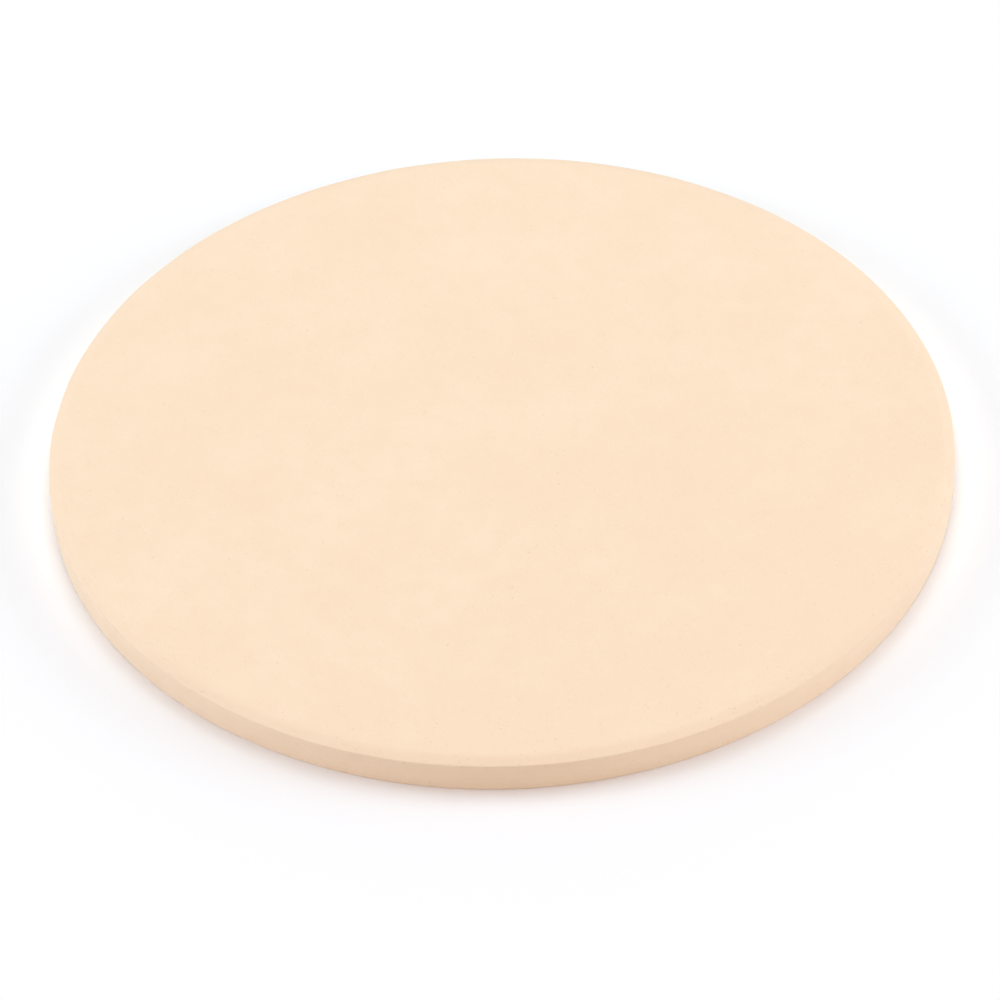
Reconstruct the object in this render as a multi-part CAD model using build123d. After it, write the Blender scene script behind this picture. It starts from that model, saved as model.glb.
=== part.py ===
from build123d import *
import os

# A round baking stone in millimetres, +Z up. It is one piece: a disc of refractory
# clay, pressed in a mould and fired without a glaze. The origin is the middle of
# the underside, on the plane that the stone rests on.

# Size of the disc
stone_diameter = 330.0
stone_thickness = 13.0

# Rim. The mould leaves a bevel between the flat baking face and the upright wall.
bevel_width = 4.0
bevel_drop = 1.45

# Softened corners. The clay is sponged before firing, so none is sharp. The shoulder
# is wiped so far that the face rolls over into the bevel.
shoulder_round = 8.0
rim_round = 0.6
foot_round = 1.0

# Places that follow from the sizes
stone_radius = stone_diameter / 2
baking_face_radius = stone_radius - bevel_width
wall_top = stone_thickness - bevel_drop

# Corners of the half section before they are softened: distance from the axis, height
foot_corner = (stone_radius, 0)
rim_corner = (stone_radius, wall_top)
shoulder_corner = (baking_face_radius, stone_thickness)
axis_foot = (0, 0)
axis_top = (0, stone_thickness)


def soften(section, corner, radius):
    """Round the one corner of the flat section that lies nearest to the given point."""
    vertex = section.vertices().sort_by_distance(corner)[0]
    return fillet(vertex, radius)


# Half section, from the axis out along the underside, up the wall and back along
# the baking face
outline = Polyline(axis_foot, foot_corner, rim_corner, shoulder_corner, axis_top, close=True)
section = make_face(outline)
section = soften(section, foot_corner, foot_round)
section = soften(section, rim_corner, rim_round)
section = soften(section, shoulder_corner, shoulder_round)

# The upright section turned once about the axis gives the whole disc
stone = revolve(Plane.XZ * section, Axis.Z)

os.makedirs("parts", exist_ok=True)
export_step(stone, "parts/stone.step")
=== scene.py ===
import math

import bpy
import numpy as np
from mathutils import Matrix, Vector


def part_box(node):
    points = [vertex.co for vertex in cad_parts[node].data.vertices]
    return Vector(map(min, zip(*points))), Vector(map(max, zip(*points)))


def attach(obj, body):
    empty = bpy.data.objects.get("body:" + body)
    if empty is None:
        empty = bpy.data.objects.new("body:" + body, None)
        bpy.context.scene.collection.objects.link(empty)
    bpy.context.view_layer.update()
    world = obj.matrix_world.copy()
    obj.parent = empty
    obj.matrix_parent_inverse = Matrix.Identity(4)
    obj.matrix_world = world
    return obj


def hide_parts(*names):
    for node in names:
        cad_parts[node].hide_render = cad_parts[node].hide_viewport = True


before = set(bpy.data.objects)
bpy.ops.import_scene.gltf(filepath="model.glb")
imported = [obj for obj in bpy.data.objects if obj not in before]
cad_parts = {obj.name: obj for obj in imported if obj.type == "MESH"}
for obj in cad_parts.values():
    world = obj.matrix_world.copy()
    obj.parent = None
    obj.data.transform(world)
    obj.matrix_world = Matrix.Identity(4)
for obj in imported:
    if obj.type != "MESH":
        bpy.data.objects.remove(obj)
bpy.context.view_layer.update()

# The stone.
# One disc of cordierite clay, pressed dry between flat steel dies that leave the bevel.
# Its corners are wiped with a damp sponge, and it is fired once without a glaze.
mm = 0.001
stone_low, stone_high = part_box("stone")
stone_radius = (stone_high.x - stone_low.x) / 2
stone_thickness = stone_high.z - stone_low.z
bevel_width = 4.0 * mm
bevel_drop = 1.45 * mm
shoulder_round = 8.0 * mm
rim_round = 0.6 * mm
foot_round = 1.0 * mm

# How many points each stretch of the half section gets, and how many steps go round
underside_points = 34
corner_points = 6
wall_points = 9
bevel_points = 6
face_points = 46
steps_round = 720

# Relief, always inwards: how deep each kind usually goes, and how far apart its waves are
press_depth = 0.02 * mm
press_wave = 48 * mm
lump_depth = 0.008 * mm
lump_wave = 11 * mm
wipe_depth = 0.045 * mm
wipe_wave = 30 * mm
wipe_reach = 3 * bevel_width
wave_count = 28
steepest_wave = 1.8
shortest_share, longest_share = 0.7, 1.4


def straight(start, end, count):
    """Evenly spaced points between two others, neither of which is included.

    Each is one minus its share of the way times the start, plus its share times the end.
    """
    share = np.linspace(0, 1, count + 2)[1:-1, None]
    return (1 - share) * np.array(start) + share * np.array(end)


def arc_in_corner(before, corner, after, radius):
    """The arc that touches both sides of a left-hand corner.

    It starts on the first side, at the radius times the tangent of half the turn from the
    corner. After each angle it has gone on by the radius times the sine of the angle, and
    to the left by the radius times one minus the cosine.
    """
    before, corner, after = (np.array(place, float) for place in (before, corner, after))
    way_in = (corner - before) / np.linalg.norm(corner - before)
    way_out = (after - corner) / np.linalg.norm(after - corner)
    turn = math.acos(way_in @ way_out)
    start = corner - way_in * radius * math.tan(turn / 2)
    to_the_left = np.array([-way_in[1], way_in[0]])
    angle = np.linspace(0, turn, corner_points)[:, None]
    return start + radius * (np.sin(angle) * way_in + (1 - np.cos(angle)) * to_the_left)


def ripple(places, wavelength, seed):
    """Smooth unevenness with a standard deviation of one, cut off at the steepest wave.

    It is a sum of plane cosine waves that run in random directions through space, times the
    root of two over their number. Their phases are random, and so are their lengths, between
    two shares of the one given. It has no seam anywhere on a surface.
    """
    random = np.random.default_rng(seed)
    ways = random.normal(size=(wave_count, 3))
    ways /= np.linalg.norm(ways, axis=1, keepdims=True)
    lengths = wavelength * random.uniform(shortest_share, longest_share, (wave_count, 1))
    phases = random.uniform(0, 2 * math.pi, wave_count)
    waves = np.cos(places @ (2 * math.pi * ways / lengths).T + phases)
    return np.clip(waves.sum(-1) * math.sqrt(2 / wave_count), -steepest_wave, steepest_wave)


def closed_turning(section, depth_at, steps):
    """Turns a half section about the Z axis, and moves each point in by a depth.

    A point at distance r and height z goes to (r cos a, r sin a, z) at each angle a. It
    then moves against the outward normal, which is the section's tangent turned to the
    right. Two poles close the ends. Returns the points and the faces.
    """
    tangent = np.gradient(section, axis=0)
    tangent /= np.linalg.norm(tangent, axis=1, keepdims=True)
    angle = np.linspace(0, 2 * math.pi, steps, endpoint=False)
    round_x, round_y = np.cos(angle), np.sin(angle)
    reach, height = section[:, :1], section[:, 1:]
    flat = np.ones_like(angle)
    grid = np.stack([reach * round_x, reach * round_y, height * flat], -1)
    out, up = tangent[:, 1:], -tangent[:, :1]
    normal = np.stack([out * round_x, out * round_y, up * flat], -1)
    grid = grid - normal * depth_at(grid)[..., None]

    lower_pole = np.array([[0, 0, grid[0, :, 2].mean()]])
    upper_pole = np.array([[0, 0, grid[-1, :, 2].mean()]])
    points = np.concatenate([lower_pole, grid.reshape(-1, 3), upper_pole])
    rings = len(section)
    number = 1 + np.arange(rings * steps).reshape(rings, steps)
    beside = np.roll(number, -1, axis=1)
    quads = np.stack([number[:-1], beside[:-1], beside[1:], number[1:]], -1).reshape(-1, 4)
    lower_fan = np.stack([np.zeros(steps, int), beside[0], number[0]], -1)
    upper_fan = np.stack([np.full(steps, len(points) - 1), number[-1], beside[-1]], -1)
    return points, quads.tolist() + lower_fan.tolist() + upper_fan.tolist()


wall_top = stone_thickness - bevel_drop
axis_foot = (0, 0)
foot_corner = (stone_radius, 0)
rim_corner = (stone_radius, wall_top)
shoulder_corner = (stone_radius - bevel_width, stone_thickness)
axis_top = (0, stone_thickness)
foot_arc = arc_in_corner(axis_foot, foot_corner, rim_corner, foot_round)
rim_arc = arc_in_corner(foot_corner, rim_corner, shoulder_corner, rim_round)
shoulder_arc = arc_in_corner(rim_corner, shoulder_corner, axis_top, shoulder_round)
section = np.concatenate([
    straight(axis_foot, foot_arc[0], underside_points),
    foot_arc,
    straight(foot_arc[-1], rim_arc[0], wall_points),
    rim_arc,
    straight(rim_arc[-1], shoulder_arc[0], bevel_points),
    shoulder_arc,
    straight(shoulder_arc[-1], axis_top, face_points),
])


def stone_relief(grid):
    """Depth of the press's unevenness everywhere, plus the sponge's wiping at the rim.

    The wiping comes in over its reach from the edge, as the square of how far across that a
    point lies, and fades evenly down the wall to nothing at the foot. Each kind of
    unevenness is its depth times its ripple, lifted so far that it never stands proud.
    """
    reach = np.hypot(grid[..., 0], grid[..., 1])
    near_rim = np.clip((reach - stone_radius) / wipe_reach + 1, 0, 1) ** 2
    wiped = near_rim * np.clip(grid[..., 2] / wall_top, 0, 1)
    press, lumps, wipe = (
        depth * (ripple(grid, wave, seed) + steepest_wave)
        for seed, (depth, wave) in enumerate(
            [(press_depth, press_wave), (lump_depth, lump_wave), (wipe_depth, wipe_wave)]
        )
    )
    return press + lumps + wiped * wipe


points, faces = closed_turning(section, stone_relief, steps_round)
stone_mesh = bpy.data.meshes.new("pressed_disc")
stone_mesh.from_pydata(points.tolist(), [], faces)
stone_mesh.shade_smooth()
stone = bpy.data.objects.new("pressed_disc", stone_mesh)
bpy.context.scene.collection.objects.link(stone)


def linear(hex_colour):
    """Red, green, blue and alpha of an sRGB hex colour, as the renderer's linear light."""
    parts = [int(hex_colour[i:i + 2], 16) / 255 for i in (1, 3, 5)]
    light = [p / 12.92 if p <= 0.04045 else ((p + 0.055) / 1.055) ** 2.4 for p in parts]
    return (*light, 1.0)


def add_node(tree, kind, sockets=(), **settings):
    """Adds a node. sockets gives a value, or the output that feeds it, for each input."""
    made = tree.nodes.new(kind)
    for name, value in settings.items():
        setattr(made, name, value)
    for name, value in dict(sockets).items():
        if isinstance(value, bpy.types.NodeSocket):
            tree.links.new(value, made.inputs[name])
        else:
            made.inputs[name].default_value = value
    return made


# Cordierite, dry-pressed and fired once, unglazed: a chalky cream body with no gloss. The
# eye sees faint warm clouds where the powder packed unevenly, pale flecks of crushed grog,
# a few tan specks of iron and open pores. The pores' shade is painted on as a darker tan.
# The die leaves fine level drag lines on the wall.
pale_clay = "#FDE5C8"
warm_clay = "#FADFC1"
grog_colour = "#FFF3E0"
iron_colour = "#D3A77A"
# Painted shade for the inside of the pores: a darker tan, not a colour of the clay itself
painted_pore_shade = "#C9A886"
cloud_size = 46 * mm
patch_size = 8 * mm
pore_spacing, pore_radius, pore_depth = 2.0 * mm, 0.26 * mm, 0.12 * mm
iron_spacing, iron_radius = 7.5 * mm, 0.4 * mm
speck_core = 0.6
powder_detail, drag_detail = 3.0, 2.0
clay_ior, clay_specular = 1.5, 0.3
smoothest, roughest = 0.86, 0.96

# Real grit and drag lines are some tenths of a millimetre apart, which is too fine to show in
# the picture, so both are drawn coarser
grain_size = 0.9 * mm
grain_depth = 0.035 * mm
drag_length = 25 * mm
drag_spacing = 0.7 * mm
drag_depth = 0.05 * mm

clay = bpy.data.materials.new("unglazed_cordierite")
clay.use_nodes = True
clay_tree = clay.node_tree
clay_tree.nodes.clear()
place = add_node(clay_tree, "ShaderNodeTexCoord").outputs["Object"]


def unevenness(size, detail, vector=place):
    """Noise between 0 and 1, about a half, whose lumps are as wide as the size."""
    return add_node(clay_tree, "ShaderNodeTexNoise", {
        "Vector": vector, "Scale": 1 / size, "Detail": detail,
    }).outputs["Fac"]


def spread(tree, value, low, high, to_low=0.0, to_high=1.0):
    """A value that runs from low to high, stretched evenly over another range and held there."""
    return add_node(tree, "ShaderNodeMapRange", {
        "Value": value, "From Min": low, "From Max": high, "To Min": to_low, "To Max": to_high,
    }).outputs["Result"]


def specks(spacing, radius):
    """One in the core of balls of the radius, which lie about the spacing apart.

    It fades evenly to nought from the core's share of the radius out to the whole radius.
    """
    nearest = add_node(clay_tree, "ShaderNodeTexVoronoi", {"Vector": place, "Scale": 1 / spacing})
    skin, core = radius / spacing, speck_core * radius / spacing
    return spread(clay_tree, nearest.outputs["Distance"], skin, core)


# On the flat face the level drag lines are all at one height, so they only show on the wall
stretch = add_node(clay_tree, "ShaderNodeMapping", {
    "Vector": place, "Scale": (drag_spacing / drag_length, drag_spacing / drag_length, 1.0),
})
clouds = unevenness(cloud_size, powder_detail)
patches = unevenness(patch_size, powder_detail)
grain = unevenness(grain_size, powder_detail)
drag = unevenness(drag_spacing, drag_detail, stretch.outputs["Vector"])
pores = specks(pore_spacing, pore_radius)
iron = specks(iron_spacing, iron_radius)

# Each layer comes in as its pattern goes from a low to a high level, and then turns the clay
# towards its own colour by its strength. A mix has its share at socket 0, its two colours at
# sockets 6 and 7, and its outcome at output 2.
layers = [
    {"pattern": clouds, "low": 0.3, "high": 0.7, "colour": warm_clay, "strength": 0.6},
    {"pattern": patches, "low": 0.35, "high": 0.65, "colour": warm_clay, "strength": 0.45},
    {"pattern": drag, "low": 0.4, "high": 0.6, "colour": warm_clay, "strength": 0.3},
    {"pattern": grain, "low": 0.58, "high": 0.7, "colour": grog_colour, "strength": 0.2},
    {"pattern": iron, "low": 0.0, "high": 1.0, "colour": iron_colour, "strength": 0.3},
    # The pores darken towards painted shade, which stands in for the shade inside the pits
    {"pattern": pores, "low": 0.0, "high": 1.0, "colour": painted_pore_shade, "strength": 0.2},
]
body = linear(pale_clay)
for layer in layers:
    turned = spread(clay_tree, layer["pattern"], layer["low"], layer["high"], 0.0, layer["strength"])
    body = add_node(clay_tree, "ShaderNodeMix", {
        0: turned, 6: body, 7: linear(layer["colour"]),
    }, data_type="RGBA").outputs[2]

gritty = add_node(clay_tree, "ShaderNodeBump", {"Height": grain, "Distance": grain_depth})
dragged = add_node(clay_tree, "ShaderNodeBump", {
    "Height": drag, "Distance": drag_depth, "Normal": gritty.outputs["Normal"],
})
pitted = add_node(clay_tree, "ShaderNodeBump", {
    "Height": pores, "Distance": pore_depth, "Normal": dragged.outputs["Normal"],
}, invert=True)

# The noise seldom leaves the middle of its range, from 0.3 to 0.7
roughness = spread(clay_tree, grain, 0.3, 0.7, smoothest, roughest)
bsdf = add_node(clay_tree, "ShaderNodeBsdfPrincipled", {
    "Base Color": body, "Roughness": roughness, "IOR": clay_ior,
    "Specular IOR Level": clay_specular, "Normal": pitted.outputs["Normal"],
})
add_node(clay_tree, "ShaderNodeOutputMaterial", {"Surface": bsdf.outputs["BSDF"]})
stone_mesh.materials.append(clay)
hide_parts("stone")
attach(stone, "root")

# The floor. A white sheet of paper far larger than the view, which keeps the soft shadow.
# It is seen a little brighter than it throws light back, and past the shadow's reach it
# fades to plain white, so that no edge shows between it and the room.
floor_reach = 4.0
shadow_reach = 1.15 * stone_radius
white_reach = 1.35 * stone_radius
paper_thrown = (0.89, 0.89, 0.89, 1.0)
paper_seen = (0.99, 0.99, 0.99, 1.0)
floor_mesh = bpy.data.meshes.new("white_floor")
floor_corners = floor_reach * np.array([(-1, -1, 0), (1, -1, 0), (1, 1, 0), (-1, 1, 0)])
floor_mesh.from_pydata(floor_corners.tolist(), [], [(0, 1, 2, 3)])
floor = bpy.data.objects.new("white_floor", floor_mesh)
bpy.context.scene.collection.objects.link(floor)


def seen_or_mirrored(tree):
    """One for a ray from the camera, off a gloss or through glass, and nought for any other."""
    rays = add_node(tree, "ShaderNodeLightPath").outputs
    camera_or_gloss = add_node(tree, "ShaderNodeMath", {
        0: rays["Is Camera Ray"], 1: rays["Is Glossy Ray"],
    }, operation="MAXIMUM")
    return add_node(tree, "ShaderNodeMath", {
        0: camera_or_gloss.outputs[0], 1: rays["Is Transmission Ray"],
    }, operation="MAXIMUM").outputs[0]


# The white past the shadow is only seen, and lights nothing
paper = bpy.data.materials.new("white_paper")
paper.use_nodes = True
paper.cycles.emission_sampling = "NONE"
paper_tree = paper.node_tree
paper_tree.nodes.clear()
seen = seen_or_mirrored(paper_tree)
paper_colour = add_node(paper_tree, "ShaderNodeMix", {
    0: seen, 6: paper_thrown, 7: paper_seen,
}, data_type="RGBA")
sheet = add_node(paper_tree, "ShaderNodeBsdfDiffuse", {"Color": paper_colour.outputs[2]})
away = add_node(paper_tree, "ShaderNodeVectorMath", {
    0: add_node(paper_tree, "ShaderNodeTexCoord").outputs["Object"],
}, operation="LENGTH")
past_shadow = spread(paper_tree, away.outputs["Value"], shadow_reach, white_reach)
faded = add_node(paper_tree, "ShaderNodeMath", {0: past_shadow, 1: seen}, operation="MULTIPLY")
plain_white = add_node(paper_tree, "ShaderNodeEmission", {"Color": (1, 1, 1, 1), "Strength": 1.0})
backdrop = add_node(paper_tree, "ShaderNodeMixShader", {
    0: faded.outputs[0], 1: sheet.outputs[0], 2: plain_white.outputs[0],
})
add_node(paper_tree, "ShaderNodeOutputMaterial", {"Surface": backdrop.outputs[0]})
floor_mesh.materials.append(paper)

# The light. Seven soft boxes stand all round: a large one high up and one low down behind the
# stone, a smaller, cooler one low at each side, and three warmer ones in front. The colours
# even out to white where all of them shine.
daylight = (0.96, 1.0, 1.01)
cool_daylight = (0.89, 1.0, 1.14)
warm_white = (1.16, 1.0, 0.95)

# Azimuths run from behind the stone round by its left. Angles are in degrees, lengths in metres.
lamps = {
    "high_back_box": {"azimuth": 0, "elevation": 70, "distance": 1.8, "size": 1.2,
                      "watts": 16.2, "colour": daylight},
    "low_back_box": {"azimuth": 0, "elevation": 32, "distance": 1.8, "size": 1.2,
                     "watts": 7.6, "colour": daylight},
    "left_box": {"azimuth": 90, "elevation": 18, "distance": 1.6, "size": 0.8,
                 "watts": 11.0, "colour": cool_daylight},
    "right_box": {"azimuth": -90, "elevation": 18, "distance": 1.6, "size": 0.8,
                  "watts": 10.4, "colour": cool_daylight},
    "front_left_box": {"azimuth": 120, "elevation": 22, "distance": 1.6, "size": 0.8,
                       "watts": 1.5, "colour": warm_white},
    "front_box": {"azimuth": 180, "elevation": 45, "distance": 1.8, "size": 1.2,
                  "watts": 9.8, "colour": warm_white},
    "front_right_box": {"azimuth": -120, "elevation": 22, "distance": 1.6, "size": 0.8,
                        "watts": 2.8, "colour": warm_white},
}
for name, lamp in lamps.items():
    data = bpy.data.lights.new(name, "AREA")
    data.shape = "SQUARE"
    data.size = lamp["size"]
    data.energy = lamp["watts"]
    data.color = lamp["colour"]
    box = bpy.data.objects.new(name, data)
    azimuth, elevation = math.radians(lamp["azimuth"]), math.radians(lamp["elevation"])
    way = Vector((
        -math.sin(azimuth) * math.cos(elevation),
        math.cos(azimuth) * math.cos(elevation),
        math.sin(elevation),
    ))
    box.location = way * lamp["distance"]
    box.rotation_mode = "QUATERNION"
    box.rotation_quaternion = way.to_track_quat("Z", "Y")
    bpy.context.scene.collection.objects.link(box)

# The room is white where it is seen or mirrored, and otherwise leaves the light to the boxes
world = bpy.data.worlds.new("white_room")
bpy.context.scene.world = world
world.use_nodes = True
room_tree = world.node_tree
room_tree.nodes.clear()
white = add_node(room_tree, "ShaderNodeBackground", {
    "Color": (1, 1, 1, 1), "Strength": seen_or_mirrored(room_tree),
})
add_node(room_tree, "ShaderNodeOutputWorld", {"Surface": white.outputs[0]})

# The camera. A long lens, nine stone radii away and 43 degrees up, held a little askew. Its
# focal length is given in widths of one of the picture's pixels.
camera_elevation = math.radians(42.87)
camera_roll = math.radians(-2.01)
camera_distance = 9.009 * stone_radius
camera_aim = Vector((-1.17 * mm, -22.87 * mm, 1.87 * mm))
focal_pixels = 4100.2
picture_pixels = 1000
camera_data = bpy.data.cameras.new("camera")
camera_data.lens = camera_data.sensor_width * focal_pixels / picture_pixels
camera = bpy.data.objects.new("camera", camera_data)
back = Vector((0, -math.cos(camera_elevation), math.sin(camera_elevation)))
turned = (
    Matrix.Rotation(math.pi / 2 - camera_elevation, 4, "X")
    @ Matrix.Rotation(camera_roll, 4, "Z")
)
camera.matrix_world = Matrix.Translation(camera_aim + back * camera_distance) @ turned
bpy.context.scene.collection.objects.link(camera)
bpy.context.scene.camera = camera

bpy.context.scene.view_settings.view_transform = "Standard"
bpy.context.view_layer.update()
